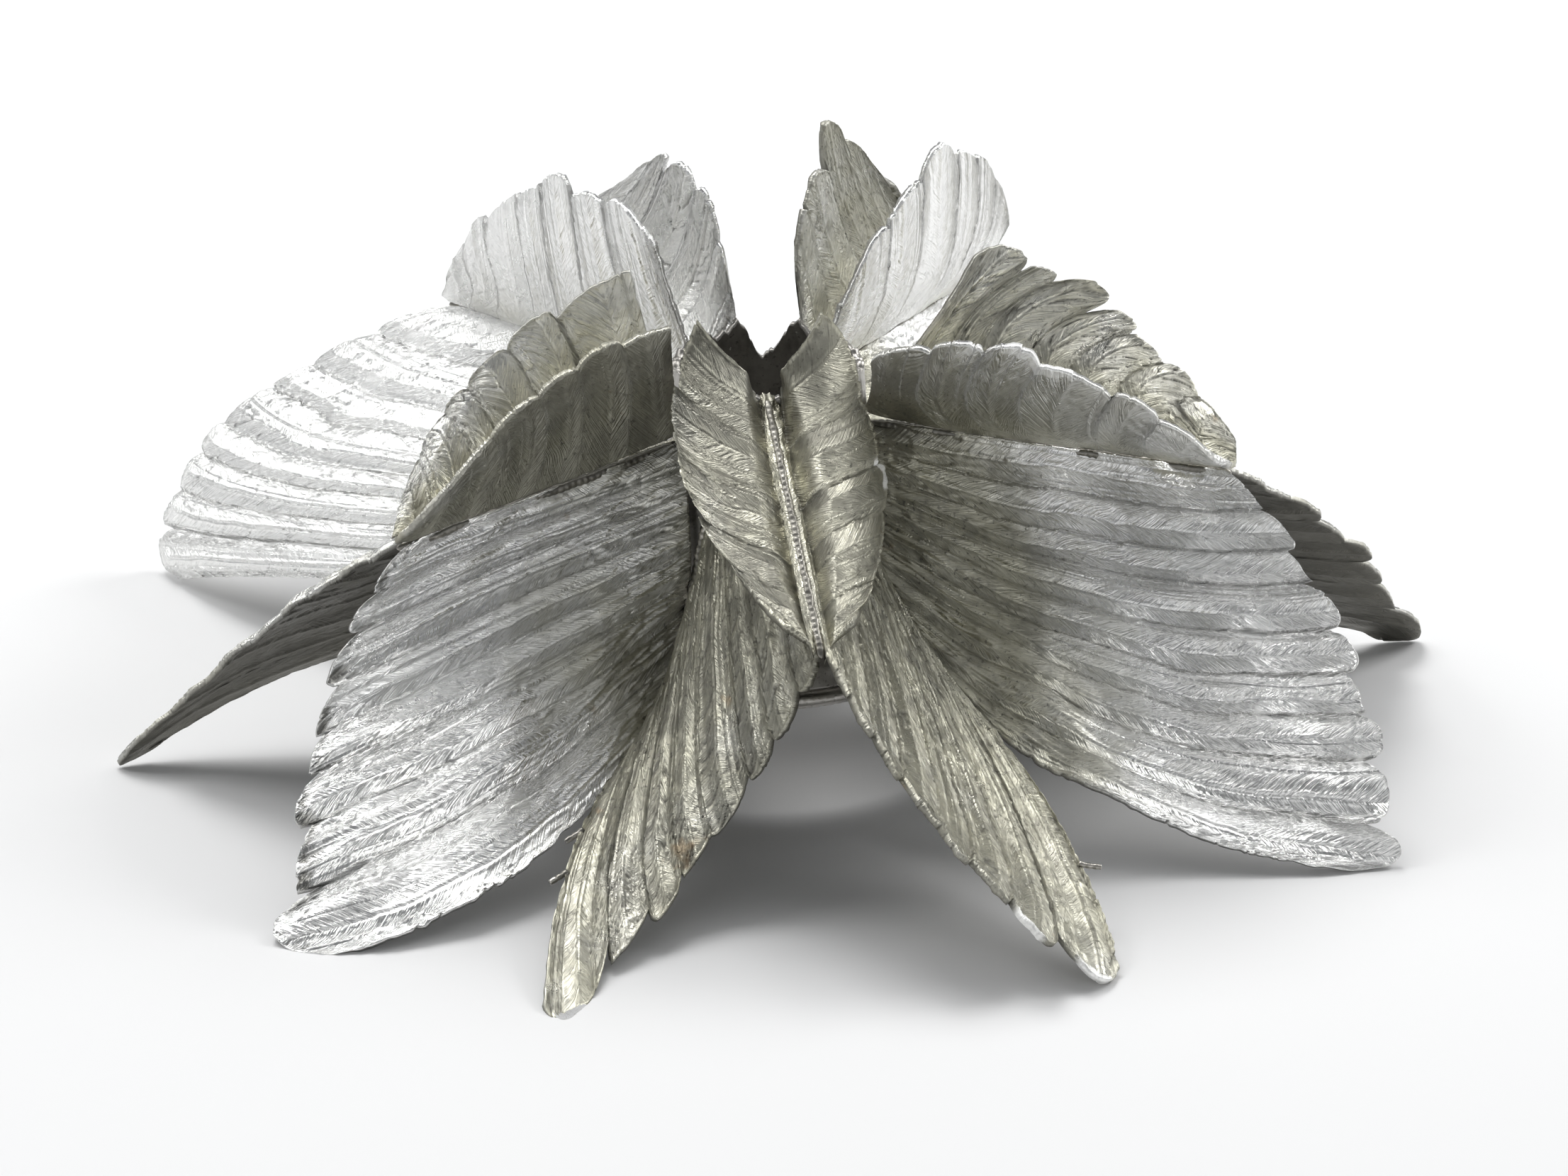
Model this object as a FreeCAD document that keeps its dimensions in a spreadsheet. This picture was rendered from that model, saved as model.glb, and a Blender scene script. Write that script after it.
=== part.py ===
"""Feathered centrepiece: ten long wings that stand on their tips carry five V troughs of short wings
round an open throat.  Millimetres, +Z up, the table is Z = 0.

Stations are written (azimuth in degrees, radius, height) about the throat axis.  Azimuth 0 is the
front (-Y) and grows towards the left (-X).
"""
import FreeCAD, Part
import Sketcher
import math
import os

os.makedirs("parts", exist_ok=True)
doc = FreeCAD.newDocument("centrepiece")
Vector = FreeCAD.Vector

# ---------------------------------------------------------------------------------------------
# Driving dimensions
# ---------------------------------------------------------------------------------------------
DIMENSIONS = [
    ("axis_x", -2.6),            # throat axis, from the middle of the whole footprint
    ("axis_y", -10.5),
    ("wall", 2.4),               # cast wall of every wing
    ("rib_height", 0.7),         # swell of each feather above its neighbours
    ("throat_radius", 30.0),     # collar, outside, at the rim
    ("waist_radius", 31.5),      # collar where the lower wings start
    ("skirt_radius", 53.0),      # collar at its foot
    ("rim_height", 124.0),
    ("waist_height", 96.0),
    ("skirt_height", 36.0),
    ("ring_tube", 3.0),          # weld ring under the skirt
    ("keel_weld_root", 2.8),     # radius of a keel weld at the throat
    ("keel_weld_tip", 1.8),
    ("tip_depth", 1.8),          # lower wings run this far below the table, then are filed flat
    ("valley_weld_root", 2.6),
    ("valley_weld_tip", 1.9),
    ("stub_radius", 1.1),        # cut-off casting sprues
    ("stub_length", 6.0),
]
sheet = doc.addObject("Spreadsheet::Sheet", "Dimensions")
for row, (alias, value) in enumerate(DIMENSIONS, start=1):
    sheet.set("A%d" % row, alias)
    sheet.set("B%d" % row, "%g" % value)
    sheet.setAlias("B%d" % row, alias)
doc.recompute()


def size(alias):
    """A driving dimension, read back from the sheet."""
    return float(sheet.get(alias))


AXIS = Vector(size("axis_x"), size("axis_y"), 0)

# Each trough: azimuth, radius and height of its outer end, azimuth and height of its keel at the throat.
TROUGHS = {
    "front": (-8, 116, 80, 1, 130),
    "left": (64, 125, 88, 64, 107),
    "backleft": (135, 150, 104, 135, 112),
    "backright": (-152, 142, 104, -152, 112),
    "right": (-80, 145, 100, -80, 111),
}

# Each valley between two lower wings: azimuth, radius and height of its lowest point.
VALLEYS = {
    "frontleft": (30, 53, 34),
    "left": (100, 54, 38),
    "back": (172, 54, 38),
    "right": (-118, 54, 38),
    "frontright": (-42, 78, 45),
}

# Each lower wing: trough, side of the trough (+1 grows in azimuth), valley, feathers, then the
# stations of its ground tip (on the table), the middle of its smooth edge, the middle of its
# feathered edge and the middle of its face.
LOWER_WINGS = {
    "front_left": ("front", 1, "frontleft", 8,
                   (17.5, 206), (25, 133, 20), (8, 129, 22), (13, 98, 46)),
    "front_right": ("front", -1, "frontright", 8,
                    (-31, 200), (-37, 142, 25), (-18, 168, 43), (-26, 112, 43)),
    "left_front": ("left", -1, "frontleft", 8,
                   (42.5, 205), (31, 147, 12), (53, 169, 41), (50, 104, 55)),
    "left_back": ("left", 1, "left", 8,
                  (82, 208), (86, 133, 30), (74, 162, 55), (78, 118, 62)),
    "backleft_outer": ("backleft", -1, "left", 8,
                       (118, 236), (111, 151, 25), (124, 226, 48), (117, 155, 54)),
    "backleft_inner": ("backleft", 1, "back", 8,
                       (157, 212), (158, 135, 20), (148, 184, 50), (151, 125, 56)),
    "backright_inner": ("backright", -1, "back", 8,
                        (187, 210), (186, 135, 20), (196, 182, 50), (193, 125, 56)),
    "backright_outer": ("backright", 1, "right", 8,
                        (-132, 210), (-131, 135, 20), (-141, 182, 50), (-138, 122, 58)),
    "right_back": ("right", -1, "right", 8,
                   (-107, 224), (-106, 135, 26), (-94, 187, 57), (-96, 120, 62)),
    "right_front": ("right", 1, "frontright", 9,
                    (-61.5, 209), (-49, 144, 18), (-70, 190, 51), (-64, 120, 50)),
}

# Each upper wing: trough, side, feathers, then the stations of its rim corner at the throat, the
# middle of its feathered edge, its outer corner and the middle of its face.
UPPER_WINGS = {
    "front_left": ("front", 1, 5,
                   (42, 33, 149), (27, 60, 113), (-2, 108, 87), (10, 68, 108)),
    "front_right": ("front", -1, 5,
                    (-31, 33, 152), (-40, 54, 103), (-14, 108, 86), (-22, 68, 108)),
    "left_front": ("left", -1, 6,
                   (49, 40, 148), (54, 82, 136), (60, 123, 95), (59, 76, 120)),
    "left_back": ("left", 1, 6,
                  (80, 43, 159), (78, 90, 129), (68, 119, 97), (74, 82, 120)),
    "backleft_outer": ("backleft", -1, 7,
                       (112, 38, 160), (124, 86, 166), (133, 144, 112), (126, 84, 136)),
    "backleft_inner": ("backleft", 1, 5,
                       (163, 33, 127), (146, 46, 172), (145, 77, 161), (146, 66, 134)),
    "backright_inner": ("backright", -1, 5,
                        (195, 36, 127), (200, 57, 177), (204, 106, 137), (201, 76, 138)),
    "backright_outer": ("backright", 1, 6,
                        (-140, 35, 132), (-131, 71, 175), (-140, 123, 137), (-141, 84, 134)),
    "right_front": ("right", 1, 6,
                    (-52, 40, 136), (-61, 91, 144), (-76, 143, 105), (-68, 80, 121)),
    "right_back": ("right", -1, 7,
                   (-98, 66, 157), (-95, 106, 138), (-83, 144, 106), (-91, 82, 127)),
}

# Cut-off casting sprues: the lower wing they stand on, and how far along its smooth edge.
SPRUE_STUBS = {"a": ("front_left", 0.58), "b": ("front_left", 0.46), "c": ("front_right", 0.64)}


def place(station):
    """The point of a station, in the part's frame."""
    azimuth, radius, height = station
    angle = math.radians(azimuth)
    return AXIS + Vector(-radius * math.sin(angle), -radius * math.cos(angle), height)


def between(first, last, share):
    """The station a share of the way from one station to another, the short way round."""
    swing = (last[0] - first[0] + 180) % 360 - 180
    return (first[0] + swing * share, first[1] + (last[1] - first[1]) * share,
            first[2] + (last[2] - first[2]) * share)


def through(start, middle, end, share):
    """A point of the parabola that passes start, middle and end at shares 0, 1/2 and 1."""
    return (start * ((1 - share) * (1 - 2 * share)) + middle * (4 * share * (1 - share))
            + end * (share * (2 * share - 1)))


def net_point(net, along, across):
    """A point of the surface through a 3 x 3 net: along a feather, then across the feathers."""
    rows = [through(*row, across) for row in net]
    return through(*rows, along)


def keel(trough, share):
    """A station on a trough's straight keel, from the throat (0) to its outer end (1)."""
    azimuth, radius, height, throat_azimuth, throat_height = TROUGHS[trough]
    root = place((throat_azimuth, size("throat_radius"), throat_height)) - AXIS
    point = root + (place((azimuth, radius, height)) - AXIS - root) * share
    return (math.degrees(math.atan2(-point.x, -point.y)), math.hypot(point.x, point.y), point.z)


def turn(station, degrees, lift=0.0):
    """A station turned about the throat axis and lifted."""
    return (station[0] + degrees, station[1], station[2] + lift)


def lower_net(name):
    """Rows from root to tip of a lower wing, each from the smooth edge to the keel."""
    trough, side, valley, _, tip, smooth, edge, face = LOWER_WINGS[name]
    valley_root = VALLEYS[valley]
    keel_root = turn(keel(trough, 0), 5 * side, -5)
    keel_tip = turn(keel(trough, 1), 1 * side, -2)
    root_azimuth = between(valley_root, keel_root, 0.14)[0]
    root_middle = (root_azimuth, size("waist_radius") + 10.5, between(valley_root, keel_root, 0.55)[2])
    keel_middle = turn(keel(trough, 0.5), 2 * side, -3)
    ground_tip = tip + (-size("tip_depth"),)
    stations = [[valley_root, root_middle, keel_root],
                [smooth, face, keel_middle],
                [ground_tip, edge, keel_tip]]
    return [[place(station) for station in row] for row in stations]


def upper_net(name):
    """Rows from keel to feathered edge of an upper wing, each from the throat outwards."""
    trough, side, _, rim, edge, corner, face = UPPER_WINGS[name]
    keel_root = turn(keel(trough, 0), 3 * side)
    keel_tip = turn(keel(trough, 1), 1 * side, 2)
    keel_row = [keel_root, turn(keel(trough, 0.5), 2 * side), keel_tip]
    middle_row = [turn(between(keel_root, rim, 0.5), 0, -2), face, between(keel_tip, corner, 0.5)]
    return [[place(station) for station in row] for row in (keel_row, middle_row, [rim, edge, corner])]


# ---------------------------------------------------------------------------------------------
# Feathered sheets
# ---------------------------------------------------------------------------------------------
STEPS_ALONG = 6          # stations along a feather
STEPS_PER_FEATHER = 4


def feather_length(pole, notch, finger, reach):
    """Share of the net covered at a pole: full on a feather's shaft, less at the gaps beside it."""
    feather, step = divmod(pole, STEPS_PER_FEATHER)
    phase = step / STEPS_PER_FEATHER
    length = 1.0 + notch * (1.0 - 2.2 * (2.0 * phase - 1.0) ** 2)
    if feather == finger and step > 0:
        length += reach
    return length


def surface_normal(net, along, across):
    """Unit normal of the net surface."""
    step = 0.01
    tangent_along = net_point(net, along + step, across) - net_point(net, along - step, across)
    tangent_across = net_point(net, along, across + step) - net_point(net, along, across - step)
    return tangent_along.cross(tangent_across).normalize()


def clamped_knots(poles):
    """Knots and multiplicities of a quadratic spline that starts and ends on its outer poles."""
    spans = poles - 2
    return [k / spans for k in range(spans + 1)], [3] + [1] * (spans - 1) + [3]


def spline_surface(poles):
    """A smooth quadratic surface that follows a grid of poles."""
    knots_along, repeats_along = clamped_knots(len(poles))
    knots_across, repeats_across = clamped_knots(len(poles[0]))
    surface = Part.BSplineSurface()
    surface.buildFromPolesMultsKnots(poles, repeats_along, repeats_across, knots_along, knots_across,
                                     False, False, 2, 2)
    return surface


def feathered_sheet(net, feathers, side, notch, finger, reach):
    """A closed sheet of even wall on a net: a swell and a scallop per feather, one feather longer."""
    upper, lower = [], []
    steps_across = STEPS_PER_FEATHER * feathers
    for i in range(STEPS_ALONG + 1):
        upper_row, lower_row = [], []
        for j in range(steps_across + 1):
            across = j / steps_across
            along = feather_length(j, notch, finger, reach) * i / STEPS_ALONG
            point = net_point(net, along, across)
            normal = surface_normal(net, along, across) * side
            fade = min(1.0, 2.5 * i / STEPS_ALONG)
            swell = size("rib_height") * fade * math.cos(2 * math.pi * (across * feathers - 0.5)) / 2
            upper_row.append(point + normal * (swell - size("rib_height") / 2))
            lower_row.append(point + normal * (swell - size("rib_height") / 2 - size("wall")))
        upper.append(upper_row)
        lower.append(lower_row)
    top, bottom = spline_surface(upper), spline_surface(lower)
    faces = [top.toShape(), bottom.toShape()]
    for end in (0.0, 1.0):
        faces.append(Part.makeRuledSurface(top.uIso(end).toShape(), bottom.uIso(end).toShape(), 1))
        faces.append(Part.makeRuledSurface(top.vIso(end).toShape(), bottom.vIso(end).toShape(), 1))
    shell = Part.makeShell(faces)
    shell.sewShape()
    solid = Part.makeSolid(shell)
    solid.fix(0.001, 0.001, 0.01)
    if solid.Volume < 0:
        solid = Part.makeSolid(shell.reversed())
    return solid


def largest_solid(shape):
    """The biggest solid of a shape."""
    return max(shape.Solids, key=lambda solid: solid.Volume)


def beyond(start, end, side):
    """Everything on one side of the upright plane through two points (+1 grows in azimuth)."""
    block = Part.makeBox(800, 400, 600, Vector(-400, 0, -300))
    heading = math.degrees(math.atan2(end.y - start.y, end.x - start.x))
    block.rotate(Vector(), Vector(0, 0, 1), heading + 180 if side > 0 else heading)
    block.translate(Vector(start.x, start.y, 0))
    return block


def trimmed(solid, cutters):
    """A sheet less the pieces that it meets and whatever lies below the table."""
    table = Part.makeBox(700, 700, 60, Vector(-350, -350, -60))
    for cutter in [table] + cutters:
        if solid.BoundBox.intersect(cutter.BoundBox):
            solid = largest_solid(solid.cut(cutter))
    return solid


# ---------------------------------------------------------------------------------------------
# Throat collar and its weld ring
# ---------------------------------------------------------------------------------------------
def origin_plane(body, role):
    """One of a body's own origin planes."""
    return next(feature for feature in body.Origin.OriginFeatures if feature.Role == role)


def collar_body():
    """Flared throat wall, revolved: straight funnel above the waist, wide skirt below it."""
    body = doc.addObject("PartDesign::Body", "ThroatCollar")
    body.Label = "throat_collar"
    sketch = body.newObject("Sketcher::SketchObject", "CollarProfile")
    sketch.AttachmentSupport = [(origin_plane(body, "XZ_Plane"), "")]
    sketch.MapMode = "FlatFace"
    wall = size("wall")
    outer = [(size("throat_radius"), size("rim_height")), (size("waist_radius"), size("waist_height")),
             (size("skirt_radius"), size("skirt_height"))]
    inner = [(radius - wall, height) for radius, height in reversed(outer)]
    corners = [Vector(radius, height, 0) for radius, height in outer + inner]
    for start, end in zip(corners, corners[1:] + corners[:1]):
        sketch.addGeometry(Part.LineSegment(start, end), False)
    count = len(corners)
    for line in range(count):
        sketch.addConstraint(Sketcher.Constraint("Coincident", line, 2, (line + 1) % count, 1))
    names = ["throat_radius", "waist_radius", "skirt_radius"]
    heights = ["rim_height", "waist_height", "skirt_height"]
    for line in range(count):
        index = min(line, count - 1 - line)
        less = "" if line < 3 else " - Dimensions.wall"
        radius_tag = "radius_%d" % line
        height_tag = "height_%d" % line
        tag = sketch.addConstraint(Sketcher.Constraint("DistanceX", -1, 1, line, 1, corners[line].x))
        sketch.renameConstraint(tag, radius_tag)
        sketch.setExpression("Constraints." + radius_tag, "Dimensions." + names[index] + less)
        tag = sketch.addConstraint(Sketcher.Constraint("DistanceY", -1, 1, line, 1, corners[line].y))
        sketch.renameConstraint(tag, height_tag)
        sketch.setExpression("Constraints." + height_tag, "Dimensions." + heights[index])
    turned = body.newObject("PartDesign::Revolution", "CollarRevolution")
    turned.Profile = sketch
    turned.ReferenceAxis = (sketch, ["V_Axis"])
    turned.Angle = 360
    sketch.Visibility = False
    body.Placement.Base = AXIS
    return body


collar = collar_body()

ring = doc.addObject("Part::Torus", "SkirtWeldRing")
ring.Label = "skirt_weld_ring"
ring.setExpression("Radius1", "Dimensions.skirt_radius - Dimensions.wall / 2")
ring.setExpression("Radius2", "Dimensions.ring_tube")
ring.setExpression("Placement.Base.x", "Dimensions.axis_x")
ring.setExpression("Placement.Base.y", "Dimensions.axis_y")
ring.setExpression("Placement.Base.z", "Dimensions.skirt_height - Dimensions.ring_tube")
doc.recompute()


# ---------------------------------------------------------------------------------------------
# Weld beads and sprue stubs: tapered rods between two stations
# ---------------------------------------------------------------------------------------------
def rod(label, start, end, root_radius, tip_radius):
    """A tapered rod from one point to another, its radii bound to the sheet."""
    cone = doc.addObject("Part::Cone", label.title().replace("_", ""))
    cone.Label = label
    cone.setExpression("Radius1", root_radius)
    cone.setExpression("Radius2", tip_radius)
    cone.Height = (end - start).Length
    cone.Placement = FreeCAD.Placement(start, FreeCAD.Rotation(Vector(0, 0, 1), end - start))
    return cone


keel_welds = {}
for trough in TROUGHS:
    start = place(turn(keel(trough, 0.02), 0, -2))
    end = place(turn(keel(trough, 0.99), 0, -1))
    keel_welds[trough] = rod("keel_weld_" + trough, start, end, "Dimensions.keel_weld_root",
                             "Dimensions.keel_weld_tip")

valley_welds = {}
for valley, (azimuth, radius, height) in VALLEYS.items():
    start = place((azimuth, size("skirt_radius") + 3, size("skirt_height") + 4))
    end = place((azimuth, size("waist_radius") + 5, size("waist_height") - 6))
    valley_welds[valley] = rod("valley_weld_" + valley, start, end, "Dimensions.valley_weld_root",
                               "Dimensions.valley_weld_tip")

stubs = {}
for name, (wing, share) in SPRUE_STUBS.items():
    net = lower_net(wing)
    foot = net_point(net, share, 0.0)
    outward = (foot - net_point(net, share, 0.1)).normalize()
    stubs[name] = rod("sprue_stub_" + name, foot - outward, foot + outward * size("stub_length"),
                      "Dimensions.stub_radius", "Dimensions.stub_radius * 0.8")
doc.recompute()

# ---------------------------------------------------------------------------------------------
# Wings, each trimmed where it meets the pieces before it
# ---------------------------------------------------------------------------------------------
def add_wing(label, sheet_solid, cutters):
    """One wing as a document object."""
    feature = doc.addObject("Part::Feature", label.title().replace("_", ""))
    feature.Label = label
    feature.Shape = trimmed(sheet_solid, cutters)
    feature.Placement = FreeCAD.Placement()
    return feature


wings = []
for name, (trough, side, valley, feathers, *_) in LOWER_WINGS.items():
    cutters = [beyond(place(keel(trough, 0)), place(keel(trough, 1)), -side),
               beyond(AXIS, place(VALLEYS[valley]), side), collar.Shape, ring.Shape,
               keel_welds[trough].Shape, valley_welds[valley].Shape]
    cutters += [stubs[stub].Shape for stub, (wing, _) in SPRUE_STUBS.items() if wing == name]
    sheet_solid = feathered_sheet(lower_net(name), feathers, side, 0.02, 0, 0.015)
    wings.append(add_wing("lower_wing_" + name, sheet_solid, cutters))
for name, (trough, side, feathers, *_) in UPPER_WINGS.items():
    cutters = [beyond(place(keel(trough, 0)), place(keel(trough, 1)), -side), collar.Shape,
               keel_welds[trough].Shape]
    sheet_solid = feathered_sheet(upper_net(name), feathers, side, 0.04, 2, 0.06)
    wings.append(add_wing("upper_wing_" + name, sheet_solid, cutters))
doc.recompute()

# ---------------------------------------------------------------------------------------------
# Check and write
# ---------------------------------------------------------------------------------------------
for item in doc.Objects:
    if "Invalid" in item.State or "Error" in item.State:
        raise RuntimeError("%s failed: %s" % (item.Label, item.State))

pieces = [collar, ring, *keel_welds.values(), *valley_welds.values(), *stubs.values(), *wings]
for piece in pieces:
    shape = piece.Shape
    if shape.isNull() or not shape.isValid() or len(shape.Solids) != 1:
        raise RuntimeError("%s is not one valid solid" % piece.Label)
    shape.exportStep("parts/%s.step" % piece.Label)

whole = FreeCAD.BoundBox()
for piece in pieces:
    whole.add(piece.Shape.optimalBoundingBox(False, False))
print("box", whole, "middle", whole.Center)
print("volume", round(sum(piece.Shape.Volume for piece in pieces)))
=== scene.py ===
"""Feathered cast-metal centrepiece: the looks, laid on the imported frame.

Stations are written (azimuth in degrees, radius, height) in millimetres about the throat axis.
Azimuth 0 is the front (-Y) and grows towards the left (-X). Lengths inside the wing functions are
millimetres too, and MM turns them into metres.
"""
import math
from types import SimpleNamespace
import bpy
import numpy as np
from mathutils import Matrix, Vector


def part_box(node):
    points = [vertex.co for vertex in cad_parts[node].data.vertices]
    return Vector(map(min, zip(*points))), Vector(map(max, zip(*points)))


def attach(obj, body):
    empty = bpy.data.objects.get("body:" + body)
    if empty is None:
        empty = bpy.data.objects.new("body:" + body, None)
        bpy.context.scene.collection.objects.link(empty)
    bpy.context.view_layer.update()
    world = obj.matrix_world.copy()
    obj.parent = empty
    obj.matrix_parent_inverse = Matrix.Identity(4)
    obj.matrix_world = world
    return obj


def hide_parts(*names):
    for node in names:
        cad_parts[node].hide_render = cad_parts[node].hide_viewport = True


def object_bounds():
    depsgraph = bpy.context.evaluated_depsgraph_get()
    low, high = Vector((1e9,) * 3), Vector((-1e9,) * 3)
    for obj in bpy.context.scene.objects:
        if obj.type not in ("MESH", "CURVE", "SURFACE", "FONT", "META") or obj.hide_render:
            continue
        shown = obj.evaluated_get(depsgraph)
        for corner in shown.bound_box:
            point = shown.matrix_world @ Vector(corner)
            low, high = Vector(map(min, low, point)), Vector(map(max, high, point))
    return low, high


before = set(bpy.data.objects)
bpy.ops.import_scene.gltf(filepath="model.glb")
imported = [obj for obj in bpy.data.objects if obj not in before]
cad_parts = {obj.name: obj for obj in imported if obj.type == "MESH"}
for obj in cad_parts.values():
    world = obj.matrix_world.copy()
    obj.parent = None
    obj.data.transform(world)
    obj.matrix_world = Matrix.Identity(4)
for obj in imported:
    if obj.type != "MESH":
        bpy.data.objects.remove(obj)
CAD_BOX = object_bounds()
LOW, HIGH = np.array(CAD_BOX[0]), np.array(CAD_BOX[1])
MM = 0.001

collar_low, collar_high = (np.array(corner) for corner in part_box("throat_collar"))
AXIS = np.array([(collar_low[0] + collar_high[0]) / 2, (collar_low[1] + collar_high[1]) / 2, 0.0])
RIM_HEIGHT = collar_high[2] / MM
SKIRT_HEIGHT = collar_low[2] / MM
SKIRT_RADIUS = (collar_high[0] - collar_low[0]) / 2 / MM
THROAT_RADIUS = 30.0
WAIST = (31.5, 96.0)       # radius and height of the collar's narrowest ring
WALL = 2.4
ROOT_GAP = 10.5            # from the collar's waist to the middle of a lower wing's root
FOOT_HEIGHT = -1.8         # wing tips reach a little below the table and are cut flat on it

# ---------------------------------------------------------------------------------------------
# Stations of the object
# ---------------------------------------------------------------------------------------------
# Each trough: azimuth, radius and height of its outer end, azimuth and height of its keel at the throat.
TROUGHS = {
    "front": (-8, 116, 80, 1, 130),
    "left": (64, 125, 88, 64, 107),
    "backleft": (135, 150, 104, 135, 112),
    "backright": (-152, 142, 104, -152, 112),
    "right": (-80, 145, 100, -80, 111),
}

# Each valley between two lower wings: azimuth, radius and height of its lowest point.
VALLEYS = {
    "frontleft": (30, 53, 34),
    "left": (100, 54, 38),
    "back": (172, 54, 38),
    "right": (-118, 54, 38),
    "frontright": (-42, 78, 45),
}

# Each lower wing: trough, side of the trough (+1 grows in azimuth), valley, feathers, then the
# stations of its ground tip (on the table), the middle of its smooth edge, the middle of its
# feathered edge and the middle of its face.
LOWER_WINGS = {
    "front_left": ("front", 1, "frontleft", 8,
                   (17.5, 206), (25, 133, 20), (8, 129, 22), (13, 98, 46)),
    "front_right": ("front", -1, "frontright", 8,
                    (-31, 200), (-37, 142, 25), (-18, 168, 43), (-26, 112, 43)),
    "left_front": ("left", -1, "frontleft", 8,
                   (42.5, 205), (31, 147, 12), (53, 169, 41), (50, 104, 55)),
    "left_back": ("left", 1, "left", 8,
                  (82, 208), (86, 133, 30), (74, 162, 55), (78, 118, 62)),
    "backleft_outer": ("backleft", -1, "left", 8,
                       (118, 236), (111, 151, 25), (124, 226, 48), (117, 155, 54)),
    "backleft_inner": ("backleft", 1, "back", 8,
                       (157, 212), (158, 135, 20), (148, 184, 50), (151, 125, 56)),
    "backright_inner": ("backright", -1, "back", 8,
                        (187, 210), (186, 135, 20), (196, 182, 50), (193, 125, 56)),
    "backright_outer": ("backright", 1, "right", 8,
                        (-132, 210), (-131, 135, 20), (-141, 182, 50), (-138, 122, 58)),
    "right_back": ("right", -1, "right", 8,
                   (-107, 224), (-106, 135, 26), (-94, 187, 57), (-96, 120, 62)),
    "right_front": ("right", 1, "frontright", 9,
                    (-61.5, 209), (-49, 144, 18), (-70, 190, 51), (-64, 120, 50)),
}

# Each upper wing: trough, side, feathers, then the stations of its rim corner at the throat, the
# middle of its feathered edge, its outer corner and the middle of its face.
UPPER_WINGS = {
    "front_left": ("front", 1, 5,
                   (42, 33, 149), (27, 60, 113), (-2, 108, 87), (10, 68, 108)),
    "front_right": ("front", -1, 5,
                    (-31, 33, 152), (-40, 54, 103), (-14, 108, 86), (-22, 68, 108)),
    "left_front": ("left", -1, 6,
                   (49, 40, 148), (54, 82, 136), (60, 123, 95), (59, 76, 120)),
    "left_back": ("left", 1, 6,
                  (80, 43, 159), (78, 90, 129), (68, 119, 97), (74, 82, 120)),
    "backleft_outer": ("backleft", -1, 7,
                       (112, 38, 160), (124, 86, 166), (133, 144, 112), (126, 84, 136)),
    "backleft_inner": ("backleft", 1, 5,
                       (163, 33, 127), (146, 46, 172), (145, 77, 161), (146, 66, 134)),
    "backright_inner": ("backright", -1, 5,
                        (195, 36, 127), (200, 57, 177), (204, 106, 137), (201, 76, 138)),
    "backright_outer": ("backright", 1, 6,
                        (-140, 35, 132), (-131, 71, 175), (-140, 123, 137), (-141, 84, 134)),
    "right_front": ("right", 1, 6,
                    (-52, 40, 136), (-61, 91, 144), (-76, 143, 105), (-68, 80, 121)),
    "right_back": ("right", -1, 7,
                   (-98, 66, 157), (-95, 106, 138), (-83, 144, 106), (-91, 82, 127)),
}

# Cut-off casting sprues: the lower wing they stand on, and how far along its smooth edge.
SPRUE_STUBS = {"a": ("front_left", 0.58), "b": ("front_left", 0.46), "c": ("front_right", 0.64)}


def place(station):
    """The point of a station, in metres."""
    azimuth, radius, height = station
    angle = math.radians(azimuth)
    return AXIS + MM * np.array([-radius * math.sin(angle), -radius * math.cos(angle), height])


def between(first, last, share):
    """The station a share of the way from one station to another, the short way round."""
    swing = (last[0] - first[0] + 180) % 360 - 180
    return (first[0] + swing * share, first[1] + (last[1] - first[1]) * share,
            first[2] + (last[2] - first[2]) * share)


def keel(trough, share):
    """A station on a trough's straight keel, from the throat (0) to its outer end (1)."""
    azimuth, radius, height, throat_azimuth, throat_height = TROUGHS[trough]
    root = (place((throat_azimuth, THROAT_RADIUS, throat_height)) - AXIS) / MM
    end = (place((azimuth, radius, height)) - AXIS) / MM
    x, y, z = root + (end - root) * share
    return math.degrees(math.atan2(-x, -y)), math.hypot(x, y), z


def turn(station, degrees, lift=0.0):
    """A station turned about the throat axis and lifted."""
    return (station[0] + degrees, station[1], station[2] + lift)


def lower_net(name):
    """Rows from root to tip of a lower wing, each from the smooth edge to the keel."""
    trough, side, valley, _, tip, smooth, edge, face = LOWER_WINGS[name]
    valley_root = VALLEYS[valley]
    keel_root = turn(keel(trough, 0), 2 * side, -4)
    keel_tip = turn(keel(trough, 1), 0.6 * side, -1.5)
    root_azimuth = between(valley_root, keel_root, 0.14)[0]
    root_middle = (root_azimuth, WAIST[0] + ROOT_GAP, between(valley_root, keel_root, 0.55)[2])
    keel_middle = turn(keel(trough, 0.5), 1 * side, -2.5)
    rows = [
        [valley_root, root_middle, keel_root],
        [smooth, face, keel_middle],
        [tip + (FOOT_HEIGHT,), edge, keel_tip],
    ]
    return np.array([[place(station) for station in row] for row in rows])


def upper_net(name):
    """Rows from keel to feathered edge of an upper wing, each from the throat outwards."""
    trough, side, _, rim, edge, corner, face = UPPER_WINGS[name]
    keel_root, keel_tip = turn(keel(trough, 0), 1.2 * side), turn(keel(trough, 1), 0.4 * side, 1)
    keel_row = [keel_root, turn(keel(trough, 0.5), 0.6 * side), keel_tip]
    middle_row = [turn(between(keel_root, rim, 0.5), 0, -2), face, between(keel_tip, corner, 0.5)]
    rows = [keel_row, middle_row, [rim, edge, corner]]
    return np.array([[place(station) for station in row] for row in rows])


# ---------------------------------------------------------------------------------------------
# Surfaces and noise
# ---------------------------------------------------------------------------------------------
def parabola(share):
    """Weights of three points at shares 0, 1/2 and 1."""
    return np.stack([(1 - share) * (1 - 2 * share), 4 * share * (1 - share), share * (2 * share - 1)], -1)


def net_points(net, along, across):
    """Points of the surface through a 3 x 3 net."""
    return np.einsum("...i,...j,ijk->...k", parabola(along), parabola(across), net)


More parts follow.
